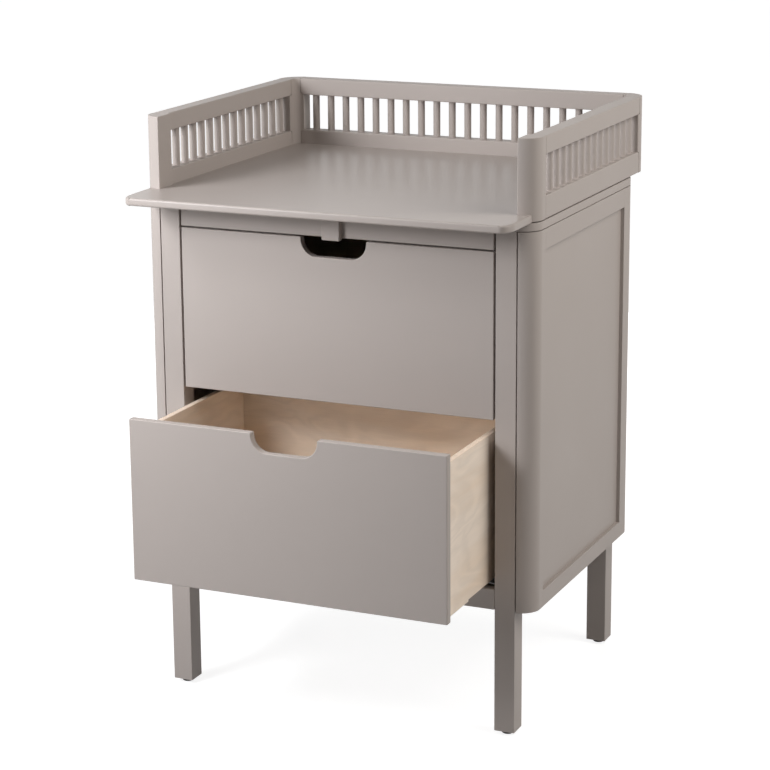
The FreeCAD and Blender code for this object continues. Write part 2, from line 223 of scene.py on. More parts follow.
def makeMottle():
    # slow drift of tone, as a sprayed film or a veneer has
    group, entry, leave = newGroup("slowMottle", {"Patches": 6.0, "Spread": 0.03}, ["Shade"])
    noise = addNode(group, "ShaderNodeTexNoise", (-600, 0), {"Detail": 3.0, "Roughness": 0.55})
    centred = addNode(group, "ShaderNodeMath", (-400, 0), {1: 0.5}, operation="SUBTRACT")
    scaled = addNode(group, "ShaderNodeMath", (-200, 0), operation="MULTIPLY")
    shade = addNode(group, "ShaderNodeMath", (0, 0), {1: 1.0}, operation="ADD")
    wire(entry.outputs["Vector"], noise, "Vector")
    wire(entry.outputs["Patches"], noise, "Scale")
    wire(noise.outputs["Fac"], centred, 0)
    wire(centred.outputs[0], scaled, 0)
    wire(entry.outputs["Spread"], scaled, 1)
    wire(scaled.outputs[0], shade, 0)
    wire(shade.outputs[0], leave, "Shade")
    return group


grainSpec = {  # how much the pattern is drawn out along, across and into the board
    "fibres": (0.03, 1.0, 1.0),
    "bands": (0.18, 1.0, 1.0),
    "figure": (0.4, 1.0, 1.0),
    "figureLines": 13.0,
}


def drawOut(tree, place, vector, shares):
    node = addNode(tree, "ShaderNodeVectorMath", place, {1: shares}, operation="MULTIPLY")
    wire(vector, node, 0)
    return node.outputs[0]


def makeGrain():
    # long fibres along the first coordinate, with growth bands across them
    masks = ["Fibre", "Band", "Figure"]
    group, entry, leave = newGroup("woodGrain", {"Fibres": 900.0, "Bands": 38.0}, masks)
    stretch = drawOut(group, (-700, 100), entry.outputs["Vector"], grainSpec["fibres"])
    fibre = addNode(group, "ShaderNodeTexNoise", (-500, 100), {"Detail": 4.0, "Roughness": 0.6})
    slow = drawOut(group, (-700, -150), entry.outputs["Vector"], grainSpec["bands"])
    drift = addNode(group, "ShaderNodeTexNoise", (-500, -150), {"Scale": 7.0, "Detail": 2.0})
    sway = addNode(group, "ShaderNodeVectorMath", (-300, -150), {"Scale": 0.08}, operation="SCALE")
    bent = addNode(group, "ShaderNodeVectorMath", (-100, -150), operation="ADD")
    band = addNode(group, "ShaderNodeTexNoise", (100, -150), {"Detail": 2.5, "Distortion": 0.6})
    wire(stretch, fibre, "Vector")
    wire(entry.outputs["Fibres"], fibre, "Scale")
    wire(slow, drift, "Vector")
    wire(drift.outputs["Color"], sway, 0)
    wire(slow, bent, 0)
    wire(sway.outputs[0], bent, 1)
    wire(bent.outputs[0], band, "Vector")
    wire(entry.outputs["Bands"], band, "Scale")
    # flame figure of a peeled veneer: contour lines of a slow swell
    swell = addNode(
        group, "ShaderNodeTexNoise", (100, -450),
        {"Scale": 11.0, "Detail": 2.0, "Roughness": 0.45, "Distortion": 0.9},
    )
    levels = addNode(
        group, "ShaderNodeMath", (300, -450), {1: grainSpec["figureLines"]}, operation="MULTIPLY"
    )
    folded = addNode(group, "ShaderNodeMath", (500, -450), {1: 1.0}, operation="PINGPONG")
    drawn = drawOut(group, (-100, -450), entry.outputs["Vector"], grainSpec["figure"])
    wire(drawn, swell, "Vector")
    wire(swell.outputs["Fac"], levels, 0)
    wire(levels.outputs[0], folded, 0)
    wire(folded.outputs[0], leave, "Figure")
    wire(fibre.outputs["Fac"], leave, "Fibre")
    wire(band.outputs["Fac"], leave, "Band")
    return group


mottleGroup = makeMottle()
grainGroup = makeGrain()
print("effects: mottle and grain groups ready")


# finishes
def newFinish(name):
    material = bpy.data.materials.new(name)
    material.use_nodes = True
    tree = material.node_tree
    tree.nodes.clear()
    surface = addNode(tree, "ShaderNodeBsdfPrincipled", (600, 0))
    out = addNode(tree, "ShaderNodeOutputMaterial", (900, 0))
    wire(surface.outputs[0], out, "Surface")
    return material, tree, surface


def placeGroup(tree, group, place, vector, amounts):
    # amounts are in the order of the group's inputs
    node = addNode(tree, "ShaderNodeGroup", place, dict(enumerate(amounts, 1)), node_tree=group)
    wire(vector, node, "Vector")
    return node


def scaledColour(tree, place, colour, factor):
    # colour times a factor that changes over the surface
    node = addNode(tree, "ShaderNodeVectorMath", place, {0: colour}, operation="SCALE")
    wire(factor, node, "Scale")
    return node.outputs[0]


def remap(tree, place, value, low, high):
    node = addNode(tree, "ShaderNodeMapRange", place, {"To Min": low, "To Max": high})
    wire(value, node, "Value")
    return node.outputs["Result"]


def ramp(tree, place, factor, ends, colours):
    node = addNode(tree, "ShaderNodeValToRGB", place)
    for element, end, colour in zip(node.color_ramp.elements, ends, colours):
        element.position = end
        element.color = colour + (1.0,)
    wire(factor, node, "Fac")
    return node.outputs["Color"]


def addNoise(tree, place, vector, scale, detail=2.0):
    node = addNode(tree, "ShaderNodeTexNoise", place, {"Scale": scale, "Detail": detail})
    wire(vector, node, "Vector")
    return node.outputs["Fac"]


def addRelief(tree, place, height, relief):
    strength, distance = relief
    node = addNode(tree, "ShaderNodeBump", place, {"Strength": strength, "Distance": distance})
    wire(height, node, "Height")
    return node


lacquer = {
    "colour": (0.432, 0.384, 0.358),
    # the plate has the frame's greige, painted darker here: painted shade standing in for less light on its
    # top
    "plateShadedColour": (0.401, 0.355, 0.330),
    "satin": (0.42, 0.52, 0.25),  # roughness from and to, and specular level
    "polished": (0.30, 0.35, 0.26),
    "matt": (0.52, 0.64, 0.25),
    "mottle": (5.0, 0.035),  # patches per metre, and spread of their tone
    "smearsPerMetre": 9.0,
    "peelPerMetre": 420.0,  # orange peel of the sprayed film
    "peel": (0.35, 0.00004),  # strength and height
    "grain": (700.0, 30.0),  # fibres and bands per metre
    "grainRelief": (0.3, 0.00006),  # as peel
}


def makeLacquer(name, sheen, onSolidWood=False, colourName="colour"):
    material, tree, surface = newFinish(name)
    coords = addNode(tree, "ShaderNodeTexCoord", (-900, 0)).outputs["Object"]
    mottle = placeGroup(tree, mottleGroup, (-500, 200), coords, lacquer["mottle"])
    colour = scaledColour(tree, (-100, 250), lacquer[colourName], mottle.outputs["Shade"])
    wire(colour, surface, "Base Color")
    peel = addNoise(tree, (-500, -200), coords, lacquer["peelPerMetre"], 1.5)
    smear = addNoise(tree, (-500, -450), coords, lacquer["smearsPerMetre"], 4.0)
    roughness = remap(tree, (-100, -450), smear, *lacquer[sheen][:2])
    wire(roughness, surface, "Roughness")
    surface.inputs["Specular IOR Level"].default_value = lacquer[sheen][2]
    bump = addRelief(tree, (300, -200), peel, lacquer["peel"])
    wire(bump.outputs[0], surface, "Normal")
    if onSolidWood:
        lay = addNode(tree, "ShaderNodeAttribute", (-900, -700), attribute_name="grain").outputs["Vector"]
        grain = placeGroup(tree, grainGroup, (-500, -700), lay, lacquer["grain"])
        under = addRelief(tree, (100, -600), grain.outputs["Fibre"], lacquer["grainRelief"])
        wire(under.outputs[0], bump, "Normal")
    return material


birch = {
    "pale": (0.95, 0.83, 0.715),
    "warm": (0.905, 0.75, 0.605),
    "line": (0.62, 0.44, 0.31),
    "grain": (520.0, 13.0),  # as in the lacquer
    "mottle": (6.0, 0.14),
    "relief": (0.3, 0.0001),
    "bandEnds": (0.30, 0.56),
    "figure": (0.955, 1.025),  # darkest and lightest tone
    "streaks": (0.93, 1.06),
    "roughness": (0.42, 0.56),
    "specular": 0.3,
    "pliesPerMetre": 715.0,
    "plyEnds": (0.42, 0.58),
    "edgeMottle": (60.0, 0.25),
    "edgeRoughness": (0.62, 0.5),
}


def makeBirchFace():
    material, tree, surface = newFinish("birchFace")
    lay = addNode(tree, "ShaderNodeAttribute", (-1100, 0), attribute_name="grain").outputs["Vector"]
    grain = placeGroup(tree, grainGroup, (-800, 0), lay, birch["grain"])
    bands = ramp(tree, (-500, 150), grain.outputs["Band"], birch["bandEnds"], (birch["warm"], birch["pale"]))
    dark, light = birch["figure"]
    figure = addNode(
        tree, "ShaderNodeMapRange", (-500, 420),
        {"To Min": dark, "To Max": light}, interpolation_type="SMOOTHSTEP",
    )
    wire(grain.outputs["Figure"], figure, "Value")
    streak = remap(tree, (-500, -150), grain.outputs["Fibre"], *birch["streaks"])
    mottle = placeGroup(tree, mottleGroup, (-500, -350), lay, birch["mottle"])
    both = addNode(tree, "ShaderNodeMath", (-250, -250), operation="MULTIPLY")
    wire(streak, both, 0)
    wire(mottle.outputs["Shade"], both, 1)
    tone = addNode(tree, "ShaderNodeMath", (-100, -250), operation="MULTIPLY")
    wire(both.outputs[0], tone, 0)
    wire(figure.outputs["Result"], tone, 1)
    toned = addNode(tree, "ShaderNodeVectorMath", (0, 100), operation="SCALE")
    wire(bands, toned, 0)
    wire(tone.outputs[0], toned, "Scale")
    wire(toned.outputs[0], surface, "Base Color")
    wire(remap(tree, (0, -150), grain.outputs["Fibre"], *birch["roughness"]), surface, "Roughness")
    surface.inputs["Specular IOR Level"].default_value = birch["specular"]
    bump = addRelief(tree, (300, -250), grain.outputs["Fibre"], birch["relief"])
    wire(bump.outputs[0], surface, "Normal")
    return material


def makeBirchEdge():
    # the plies show as alternating lines: end grain is darker than long grain
    material, tree, surface = newFinish("birchEdge")
    lay = addNode(tree, "ShaderNodeAttribute", (-1100, 0), attribute_name="grain").outputs["Vector"]
    parts = addNode(tree, "ShaderNodeSeparateXYZ", (-900, 0))
    wire(lay, parts, 0)
    count = addNode(tree, "ShaderNodeMath", (-700, 0), {1: birch["pliesPerMetre"]}, operation="MULTIPLY")
    wire(parts.outputs["Z"], count, 0)
    fold = addNode(tree, "ShaderNodeMath", (-500, 0), {1: 1.0}, operation="PINGPONG")
    wire(count.outputs[0], fold, 0)
    lines = ramp(tree, (-300, 0), fold.outputs[0], birch["plyEnds"], (birch["line"], birch["pale"]))
    mottle = placeGroup(tree, mottleGroup, (-300, -250), lay, birch["edgeMottle"])
    toned = addNode(tree, "ShaderNodeVectorMath", (0, 100), operation="SCALE")
    wire(lines, toned, 0)
    wire(mottle.outputs["Shade"], toned, "Scale")
    wire(toned.outputs[0], surface, "Base Color")
    wire(remap(tree, (0, -150), fold.outputs[0], *birch["edgeRoughness"]), surface, "Roughness")
    return material


steel = {
    "colour": (0.56, 0.57, 0.58),
    "roughness": (0.28, 0.46),
    "drawnOut": (1.0, 0.02, 1.0),  # drawing lines run along y
    "linesPerMetre": 900.0,
    "spangle": (90.0, 0.22),
}


def makeSteel():
    # bright zinc on rolled sheet: faint spangle and drawing lines
    material, tree, surface = newFinish("zincSteel")
    coords = addNode(tree, "ShaderNodeTexCoord", (-1100, 0)).outputs["Object"]
    stretch = drawOut(tree, (-900, 0), coords, steel["drawnOut"])
    lines = addNoise(tree, (-700, 0), stretch, steel["linesPerMetre"])
    mottle = placeGroup(tree, mottleGroup, (-700, 250), coords, steel["spangle"])
    colour = scaledColour(tree, (-300, 250), steel["colour"], mottle.outputs["Shade"])
    wire(colour, surface, "Base Color")
    wire(remap(tree, (-300, -100), lines, *steel["roughness"]), surface, "Roughness")
    surface.inputs["Metallic"].default_value = 1.0
    return material


plastic = {
    "colour": (0.028, 0.026, 0.025),
    "mottle": (300.0, 0.3),
    "roughness": (0.5, 0.7),
    "specksPerMetre": 900.0,
}


def makeGlidePlastic():
    material, tree, surface = newFinish("glidePlastic")
    coords = addNode(tree, "ShaderNodeTexCoord", (-900, 0)).outputs["Object"]
    mottle = placeGroup(tree, mottleGroup, (-500, 200), coords, plastic["mottle"])
    colour = scaledColour(tree, (-100, 250), plastic["colour"], mottle.outputs["Shade"])
    wire(colour, surface, "Base Color")
    speck = addNoise(tree, (-500, -200), coords, plastic["specksPerMetre"])
    wire(remap(tree, (-100, -200), speck, *plastic["roughness"]), surface, "Roughness")
    return material


finishes = {
    "solid": makeLacquer("greigeSolidWood", "satin", True),
    "board": makeLacquer("greigeBoard", "satin"),
    # the plate's finish takes the darker greige, which is painted shade
    "plate": makeLacquer("greigePlate", "polished", colourName="plateShadedColour"),
    "paint": makeLacquer("greigePaint", "matt"),
    "birchFace": makeBirchFace(),
    "birchEdge": makeBirchEdge(),
    "steel": makeSteel(),
    "glide": makeGlidePlastic(),
}
print("finishes:", ", ".join(finishes))

# hand tools
axes = {"x": 0, "y": 1, "z": 2}
lyingAlong = {"x": (0, math.pi / 2, 0), "y": (math.pi / 2, 0, 0), "z": (0, 0, 0)}
tiny = 1e-5  # two places nearer than this are the same
facing = 0.9  # a normal with more than this along an axis looks that way
beyond = 0.01  # how far a cutter reaches past what it cuts
overFacets, overBends = 50.0, 60.0  # degrees: only sharper edges of round and of bent pieces are eased
smoothBelow = 35.0  # degrees


def pickOnly(piece):
    bpy.ops.object.select_all(action="DESELECT")
    piece.select_set(True)
    bpy.context.view_layer.objects.active = piece


def applyPlace(piece):
    pickOnly(piece)
    bpy.ops.object.transform_apply(location=True, rotation=True, scale=True)


def addBoard(name, low, high):
    bpy.ops.object.select_all(action="DESELECT")
    bpy.ops.mesh.primitive_cube_add(size=1.0, location=(Vector(low) + Vector(high)) / 2)
    board = bpy.context.object
    board.name = board.data.name = name
    board.scale = Vector(high) - Vector(low)
    applyPlace(board)
    return board


def addRod(name, place, radius, length, axis, rodSides=24):
    bpy.ops.object.select_all(action="DESELECT")
    bpy.ops.mesh.primitive_cylinder_add(
        vertices=rodSides, radius=radius, depth=length, location=place, rotation=lyingAlong[axis]
    )
    rod = bpy.context.object
    rod.name = rod.data.name = name
    applyPlace(rod)
    return rod


def clearPicks(piece, kind):
    pickOnly(piece)
    bpy.ops.object.mode_set(mode="EDIT")
    bpy.ops.mesh.select_mode(type=kind)
    bpy.ops.mesh.select_all(action="DESELECT")
    bpy.ops.object.mode_set(mode="OBJECT")


def editEdges(piece, test):
    # opens the piece in edit mode with only the edges that pass the test selected
    clearPicks(piece, "EDGE")
    points = piece.data.vertices
    for edge in piece.data.edges:
        edge.select = test(points[edge.vertices[0]].co, points[edge.vertices[1]].co)
    bpy.ops.object.mode_set(mode="EDIT")


def editFaces(piece, test):
    clearPicks(piece, "FACE")
    for face in piece.data.polygons:
        face.select = test(face.center, face.normal)
    bpy.ops.object.mode_set(mode="EDIT")


def roundEdges(piece, radius, segments, test):
    editEdges(piece, test)
    bpy.ops.mesh.bevel(offset=radius, offset_type="OFFSET", segments=segments, profile=0.5, affect="EDGES")
    bpy.ops.object.mode_set(mode="OBJECT")


def roundRim(piece, radius, segments, test):
    # rounds the outline of the faces that pass the test
    editFaces(piece, test)
    bpy.ops.mesh.bevel(offset=radius, segments=segments, affect="EDGES")
    bpy.ops.object.mode_set(mode="OBJECT")


def pushFaces(piece, move, test):
    editFaces(piece, test)
    bpy.ops.mesh.extrude_region_move(TRANSFORM_OT_translate={"value": move})
    bpy.ops.object.mode_set(mode="OBJECT")


def runsAlong(axis, **places):
    # edges along one axis, at the given place, or one of several, on the other two
    index = axes[axis]

    def test(a, b):
        if abs((a - b).length - abs(a[index] - b[index])) > tiny:
            return False
        for key, values in places.items():
            values = values if isinstance(values, tuple) else (values,)
            if all(abs(a[axes[key]] - value) > tiny for value in values):
                return False
        return True

    return test


def atHeight(z):
    return lambda a, b: abs(a.z - z) < tiny and abs(b.z - z) < tiny


def scorePiece(piece, axis, *places):
    # runs a line of edges right round the piece at each place on the axis
    normal = Vector((0, 0, 0))
    normal[axes[axis]] = 1
    pickOnly(piece)
    bpy.ops.object.mode_set(mode="EDIT")
    for place in places:
        bpy.ops.mesh.select_all(action="SELECT")
        bpy.ops.mesh.bisect(plane_co=normal * place, plane_no=normal)
    bpy.ops.object.mode_set(mode="OBJECT")


def cutAway(piece, *cutters):
    for cutter in cutters:
        modifier = piece.modifiers.new("cut", "BOOLEAN")
        modifier.operation = "DIFFERENCE"
        modifier.solver = "EXACT"
        modifier.object = cutter
        pickOnly(piece)
        bpy.ops.object.modifier_apply(modifier=modifier.name)
        bpy.data.objects.remove(cutter)


def easeEdges(piece, radius, segments=3, angle=40.0):
    modifier = piece.modifiers.new("ease", "BEVEL")
    modifier.width = radius
    modifier.segments = segments
    modifier.limit_method = "ANGLE"
    modifier.angle_limit = math.radians(angle)
    pickOnly(piece)
    bpy.ops.object.modifier_apply(modifier=modifier.name)


def copyPiece(piece, name):
    twin = piece.copy()
    twin.data = piece.data.copy()
    twin.name = twin.data.name = name
    scene.collection.objects.link(twin)
    return twin


def copyMoved(piece, name, move):
    twin = copyPiece(piece, name)
    twin.location = move
    applyPlace(twin)
    return twin


def copiesAt(model, places):
    # a copy of the model at each place; the model itself goes
    copies = [copyMoved(model, model.name, place) for place in places]
    bpy.data.objects.remove(model)
    return copies


def mirrorPiece(piece, name):
    twin = copyPiece(piece, name)
    twin.scale.x = -1
    applyPlace(twin)
    bpy.ops.object.mode_set(mode="EDIT")
    bpy.ops.mesh.select_all(action="SELECT")
    bpy.ops.mesh.normals_make_consistent(inside=False)
    bpy.ops.object.mode_set(mode="OBJECT")
    return twin


def onBothSides(piece, name):
    # the piece is modelled on the right, and the left one is a mirrored copy of it
    left = mirrorPiece(piece, name.format("left"))
    piece.name = piece.data.name = name.format("right")
    return ("left", left), ("right", piece)


def onBothLevels(piece, part):
    # the piece is modelled for the upper drawer, and the lower one is a copy of it
    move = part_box("lower_" + part)[0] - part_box("upper_" + part)[0]
    lower = copyMoved(piece, "lower_" + piece.name, move)
    piece.name = piece.data.name = "upper_" + piece.name
    return ("upper", piece), ("lower", lower)


def joinPieces(pieces, name):
    bpy.ops.object.select_all(action="DESELECT")
    for piece in pieces:
        piece.select_set(True)
    bpy.context.view_layer.objects.active = pieces[0]
    bpy.ops.object.join()
    pieces[0].name = pieces[0].data.name = name
    return pieces[0]


def layGrain(piece, along, depth):
    # stores, for the wood finishes, how far each point lies along, across and into the board
    across = ({"x", "y", "z"} - {along, depth}).pop()
    order = [axes[along], axes[across], axes[depth]]
    points = [vertex.co for vertex in piece.data.vertices]
    start = [min(point[index] for point in points) for index in order]
    number = sum(ord(letter) for letter in piece.name)
    shift = (number * 0.37 % 5.0, number * 0.61 % 3.0, 0.0)  # no two boards from one spot of the log
    attribute = piece.data.attributes.new("grain", "FLOAT_VECTOR", "POINT")
    for point, value in zip(points, attribute.data):
        value.vector = [point[index] - low + extra for index, low, extra in zip(order, start, shift)]


def dressPiece(piece, body, finish, node):
    piece.data.materials.clear()
    for name in finish if isinstance(finish, tuple) else (finish,):
        piece.data.materials.append(finishes[name])
    pickOnly(piece)
    bpy.ops.object.shade_smooth_by_angle(angle=math.radians(smoothBelow))
    modifier = piece.modifiers.new("flatFaces", "WEIGHTED_NORMAL")
    modifier.keep_sharp = True
    bpy.ops.object.modifier_apply(modifier=modifier.name)
    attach(piece, body)
    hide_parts(node)


def lacquered(piece, node, along=None, depth=None):
    # solid wood has its grain laid along and into given axes; board has none
    if along:
        layGrain(piece, along, depth)
    dressPiece(piece, "cabinet", "solid" if along else "board", node)


def lacqueredPair(piece, node, ending, along=None, depth=None):
    for side, twin in onBothSides(piece, node + "_" + ending):
        lacquered(twin, node.format(side), along, depth)


# cabinet: legs and side frames
legSpec = {"edge": 0.0015, "seamEdge": 0.0008, "foot": 0.0012}
cornerSpec = {"radius": 0.036, "segments": 24, "seamWidth": 0.002, "seamDepth": 0.010, "edge": 0.0003}
railSpec = {"edge": 0.0005}
shadowGap = 0.0011  # between the side frames and the top board


def makeLegs():
    low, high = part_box("front_right_leg")
    leg = addBoard("leg", low, high)
    roundEdges(leg, legSpec["edge"], 4, runsAlong("z", x=low.x))
    roundEdges(leg, legSpec["seamEdge"], 3, runsAlong("z", x=high.x))
    easeEdges(leg, legSpec["foot"], 2)
    rearLeg = copyMoved(leg, "rearLeg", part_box("rear_right_leg")[0] - low)
    for row, model in (("front", leg), ("rear", rearLeg)):
        lacqueredPair(model, row + "_{}_leg", "post", "z", "x")


def quarterRound(name, low, high, rear):
    # right-hand upright with the big outer rounding; it is rounded on a wide board, then cut to width
    radius = cornerSpec["radius"]
    post = addBoard(name, (high.x - radius - beyond, low.y, low.z), high)
    outerY = high.y if rear else low.y
    roundEdges(post, radius, cornerSpec["segments"], runsAlong("z", x=high.x, y=outerY))
    pickOnly(post)
    bpy.ops.object.mode_set(mode="EDIT")
    bpy.ops.mesh.select_all(action="SELECT")
    bpy.ops.mesh.bisect(plane_co=(low.x, 0, 0), plane_no=(1, 0, 0), use_fill=True, clear_inner=True)
    bpy.ops.object.mode_set(mode="OBJECT")
    return post


def makeStiles(which):
    low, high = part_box("right_" + which)
    rear = which == "rear_stile"
    legLow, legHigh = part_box("rear_right_leg" if rear else "front_right_leg")
    low.y, high.y = (low.y, legHigh.y) if rear else (legLow.y, high.y)
    high.z -= shadowGap
    stile = quarterRound("stile", low, high, rear)
    seamY, depth = high.y if rear else low.y, cornerSpec["seamDepth"]
    seam = addBoard(
        "seam",
        (low.x - beyond, seamY - depth, low.z - beyond),
        (low.x + cornerSpec["seamWidth"], seamY + depth, high.z + beyond),
    )
    cutAway(stile, seam)
    easeEdges(stile, cornerSpec["edge"], 2)
    lacqueredPair(stile, "{}_" + which, "round", "z", "x")


def makeSideRails(which, topGap=0.0):
    low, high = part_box("right_" + which)
    high.z -= topGap
    sideRail = addBoard("sideRail", low, high)
    easeEdges(sideRail, railSpec["edge"])
    lacqueredPair(sideRail, "{}_" + which, "wood", "y", "x")


makeLegs()
makeStiles("front_stile")
makeStiles("rear_stile")
makeSideRails("side_top_rail", shadowGap)
makeSideRails("side_bottom_rail")
print("cabinet: legs and side frames")

# cabinet: top, cross rails, plate supports
topSpec = {"radius": 0.036, "segments": 24, "edge": 0.001, "underEdge": 0.0015}
crossSpec = {"edge": 0.002}


def makeCrossPiece(node, along):
    crossPiece = addBoard(node + "_wood", *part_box(node))
    easeEdges(crossPiece, crossSpec["edge"])
    lacquered(crossPiece, node, along, "y")


def makeTop():
    low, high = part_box("dresser_top")
    top = addBoard("dresser_top_board", low, high)
    roundEdges(top, topSpec["radius"], topSpec["segments"], runsAlong("z"))
    roundEdges(top, topSpec["underEdge"], 3, atHeight(low.z))
    easeEdges(top, topSpec["edge"])
    lacquered(top, "dresser_top")


makeTop()
for node in ("front_top_rail", "front_bottom_rail", "rear_bottom_rail", "plate_rear_cleat"):
    makeCrossPiece(node, "x")
makeCrossPiece("plate_front_block", "z")
print("cabinet: top and cross rails")

# changing plate
plateSpec = {
    "earBack": 0.008,  # behind the front plane of the legs
    "bodyInset": 0.030,  # plate body inside the cabinet's width
    "notchGap": 0.0005,
    "notchInset": 0.036,
    "notchDepth": 0.050,
    "frontCorner": 0.036,
    "rearCorner": 0.018,
    "edge": 0.004,
    "edgeEnd": 0.01,  # the rounded edge stops this far in front of the ears' back
}


def makePlate():
    low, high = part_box("changing_plate")
    cabinetLow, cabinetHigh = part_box("dresser_top")
    bodyX = cabinetHigh.x - plateSpec["bodyInset"]
    earY = cabinetLow.y + plateSpec["earBack"]
    plate = addBoard("changing_plate_board", (-bodyX, low.y, low.z), (bodyX, high.y, high.z))
    scorePiece(plate, "y", earY)
    for sign in (-1, 1):
        ear = (sign * (high.x - bodyX), 0, 0)
        pushFaces(plate, ear, lambda centre, normal: normal.x * sign > facing and centre.y < earY)
    # the notch follows the gallery stile with a hair of air round it
    gap = plateSpec["notchGap"]
    outerX, frontY = cabinetHigh.x + gap, cabinetLow.y - gap
    notch = addBoard(
        "notch",
        (cabinetHigh.x - plateSpec["notchInset"] - gap, frontY, low.z - beyond),
        (outerX, cabinetLow.y + plateSpec["notchDepth"] + gap, high.z + beyond),
    )
    notchRadius = cornerSpec["radius"] + gap
    roundEdges(notch, notchRadius, cornerSpec["segments"], runsAlong("z", x=outerX, y=frontY))
    twin = mirrorPiece(notch, "notchTwin")
    cutAway(plate, notch, twin)
    roundEdges(plate, plateSpec["frontCorner"], 16, runsAlong("z", y=low.y, x=(-high.x, high.x)))
    roundEdges(plate, plateSpec["rearCorner"], 10, runsAlong("z", y=high.y))

    def onFrontEdge(a, b):
        flat = atHeight(low.z)(a, b) or atHeight(high.z)(a, b)
        middle = (a + b) / 2
        outer = middle.y < low.y + plateSpec["frontCorner"] or abs(abs(middle.x) - high.x) < tiny
        return flat and middle.y < earY - plateSpec["edgeEnd"] and outer

    roundEdges(plate, plateSpec["edge"], 5, onFrontEdge)
    dressPiece(plate, "cabinet", "plate", "changing_plate")


makePlate()
print("changing plate")

# gallery
gallerySpec = {
    "railEdge": 0.002,
    "railCorner": 0.006,  # slot-side corners by the posts
    "stileEdge": 0.0012,
    "spindleSides": 32,
    "spindleEdge": 0.0008,
    "spindleGap": 0.002,  # two spindles are at least this far apart
    "postRadius": 0.044,
    "postSteps": 24,
    "postWall": 0.030,
    "postEdge": 0.0012,
    "postReach": 0.040,  # rear rails end this far inside the outer side
    "slotBar": 0.007,
}
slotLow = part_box("back_gallery_bottom_rail")[1].z
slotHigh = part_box("back_gallery_top_rail")[0].z


def roundSlotCorners(piece, axis, meetsPost):
    # meetsPost tells which ends of the rail are rounded, by the middle of each edge
    onSlot = runsAlong(axis, z=(slotLow, slotHigh))
    roundEdges(piece, gallerySpec["railCorner"], 6, lambda a, b: onSlot(a, b) and meetsPost((a + b) / 2))


def makeGalleryRails(which):
    # one across the back, and one along each side
    node = "back_gallery_" + which
    backRail = addBoard(node + "_wood", *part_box(node))
    roundSlotCorners(backRail, "y", lambda middle: True)
    easeEdges(backRail, gallerySpec["railEdge"], 3, overFacets)
    lacquered(backRail, node, "x", "z")
    low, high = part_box("right_gallery_" + which)
    sideRail = addBoard("galleryRail", low, high)
    roundSlotCorners(sideRail, "x", lambda middle: abs(middle.y - high.y) < tiny)
    easeEdges(sideRail, gallerySpec["railEdge"], 3, overFacets)
    lacqueredPair(sideRail, "{}_gallery_" + which, "wood", "y", "z")


def makeGalleryStiles():
    stile = quarterRound("galleryStile", *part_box("right_gallery_front_stile"), False)
    easeEdges(stile, gallerySpec["stileEdge"])
    lacqueredPair(stile, "{}_gallery_front_stile", "round", "z", "x")


def makeCornerPosts():
    low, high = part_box("right_gallery_corner_post")
    radius, wall, barDepth = gallerySpec["postRadius"], gallerySpec["postWall"], gallerySpec["slotBar"]
    centre = (high.x - radius, high.y - radius, 0)
    inner = high.x - wall
    post = addBoard("post", (inner, low.y + barDepth, low.z), (high.x, high.y - radius, high.z))
    # the end face turns a quarter about the corner's centre, then runs straight into the rear slot
    editFaces(post, lambda middle, normal: normal.y > facing)
    steps = gallerySpec["postSteps"]
    bpy.ops.mesh.spin(steps=steps, angle=-math.pi / 2, center=centre, axis=(0, 0, 1), use_auto_merge=False)
    bpy.ops.mesh.extrude_region_move(TRANSFORM_OT_translate={"value": (low.x - centre[0], 0, 0)})
    bpy.ops.mesh.select_all(action="SELECT")
    bpy.ops.mesh.remove_doubles(threshold=tiny)
    bpy.ops.mesh.normals_make_consistent(inside=False)
    bpy.ops.object.mode_set(mode="OBJECT")
    reach = high.x - gallerySpec["postReach"]
    for seatLow, seatHigh in ((low.z - beyond, slotLow), (slotHigh, high.z + beyond)):
        seat = addBoard(
            "seat", (low.x - beyond, high.y - wall - beyond, seatLow), (reach, high.y + beyond, seatHigh)
        )
        roundSlotCorners(seat, "y", lambda middle: middle.x > low.x)
        cutAway(post, seat)
    easeEdges(post, gallerySpec["postEdge"], 2, overFacets)
    bar = addBoard("slotBar", (inner, low.y, slotLow), (high.x, low.y + barDepth, slotHigh))
    roundEdges(bar, gallerySpec["railEdge"], 4, runsAlong("z", y=low.y))
    lacqueredPair(joinPieces([post, bar], "post"), "{}_gallery_corner_post", "round", "z", "x")


def findSpindles(node):
    # each spindle is a loose part of the node's mesh: its middle is found by clustering the places
    low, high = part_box(node)
    axis = 0 if high.x - low.x > high.y - low.y else 1
    radius = (high - low)[1 - axis] / 2
    runs = []
    for value in sorted(vertex.co[axis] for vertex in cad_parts[node].data.vertices):
        if not runs or value - runs[-1][0] > 2 * radius + gallerySpec["spindleGap"]:
            runs.append([value, value])
        runs[-1][1] = value
    places = []
    for first, last in runs:
        place = (low + high) / 2
        place[axis] = (first + last) / 2
        places.append(place)
    return places, radius, high.z - low.z


def makeSpindles(node):
    places, radius, height = findSpindles(node)
    model = addRod("spindle", (0, 0, 0), radius, height, "z", rodSides=gallerySpec["spindleSides"])
    easeEdges(model, gallerySpec["spindleEdge"], 2, overFacets)
    lacquered(joinPieces(copiesAt(model, places), node + "_turned"), node, "z", "x")


makeGalleryStiles()
makeCornerPosts()
makeGalleryRails("bottom_rail")
makeGalleryRails("top_rail")
for where in ("left", "right", "back"):
    makeSpindles(where + "_gallery_spindles")
print("gallery")

# drawers
frontSpec = {
    "cutHalf": 0.066,
    "cutDepth": 0.036,
    "cutRadius": 0.032,
    "lip": 0.003,
    "edge": 0.0016,
    "grow": 0.0004,  # wider than its solid on each side
}
boxSpec = {
    "edge": 0.0012,
    "footHeight": 0.0035,
    "footLength": 0.110,
    "flat": 0.7,  # a normal with less than this across the board is on an edge and shows the plies
}


